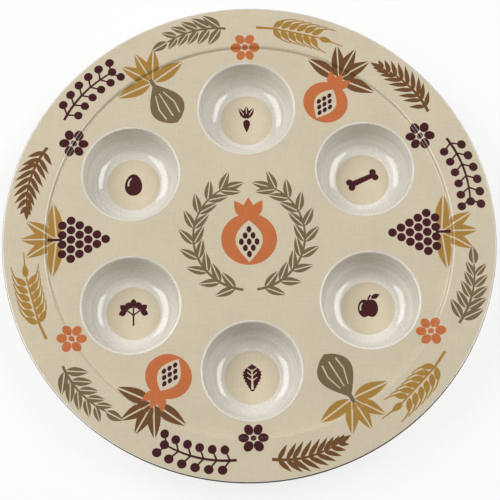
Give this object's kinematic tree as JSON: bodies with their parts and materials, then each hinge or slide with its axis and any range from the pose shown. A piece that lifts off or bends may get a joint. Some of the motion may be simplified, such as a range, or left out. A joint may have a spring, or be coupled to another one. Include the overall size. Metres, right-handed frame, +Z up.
{
  "type": "seder plate",
  "caption": "Round moulded seder plate with a flat rim, a recessed printed centre and a ring of deep round wells for the ritual foods, standing on foot rings under the wells.",
  "frame": {"origin": "on the table under the plate's centre", "axes": "+Z up, square to the plate; -Y towards the reader, at the plate's lower edge"},
  "size_m": [0.3, 0.3, 0.0282],
  "materials": {
    "melamine_body": "glossy compression-moulded melamine, off-white",
    "printed_foil": "printed decor paper under clear glossy melamine, beige"
  },
  "bodies": {
    "root": {"moulded_plate": "melamine_body", "printed_face": "printed_foil", "printed_disc_top": "printed_foil", "printed_disc_upper_right": "printed_foil", "printed_disc_lower_right": "printed_foil", "printed_disc_bottom": "printed_foil", "printed_disc_lower_left": "printed_foil", "printed_disc_upper_left": "printed_foil"}
  },
  "joints": []
}
